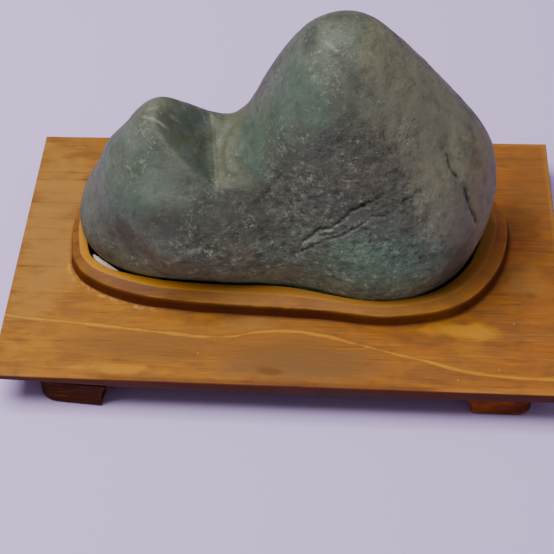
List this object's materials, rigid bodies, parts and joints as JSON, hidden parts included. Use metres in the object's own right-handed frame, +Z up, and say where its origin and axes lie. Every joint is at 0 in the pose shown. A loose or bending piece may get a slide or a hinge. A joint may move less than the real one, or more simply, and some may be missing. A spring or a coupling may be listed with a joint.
{
  "type": "scholars rock on a carved wooden stand",
  "caption": "Water-worn grey-green mountain stone with a tall peak and a lower peak, seated in the carved lip of a low pine stand on block feet.",
  "frame": {"origin": "on the ground plane under the middle of the board's plan, level with the undersides of the feet", "axes": "+X along the board's long side, to the right seen from the front; +Y from the front edge to the back; +Z up through the rock"},
  "size_m": [0.24, 0.1586, 0.1418],
  "materials": {
    "rock": "matte",
    "board": "satin",
    "feet": "satin",
    "packing": "matte"
  },
  "bodies": {
    "root": {"rock": "rock", "board": "board", "foot_front_left": "feet", "foot_front_right": "feet", "foot_back_left": "feet", "foot_back_right": "feet", "packing": "packing"}
  },
  "joints": []
}
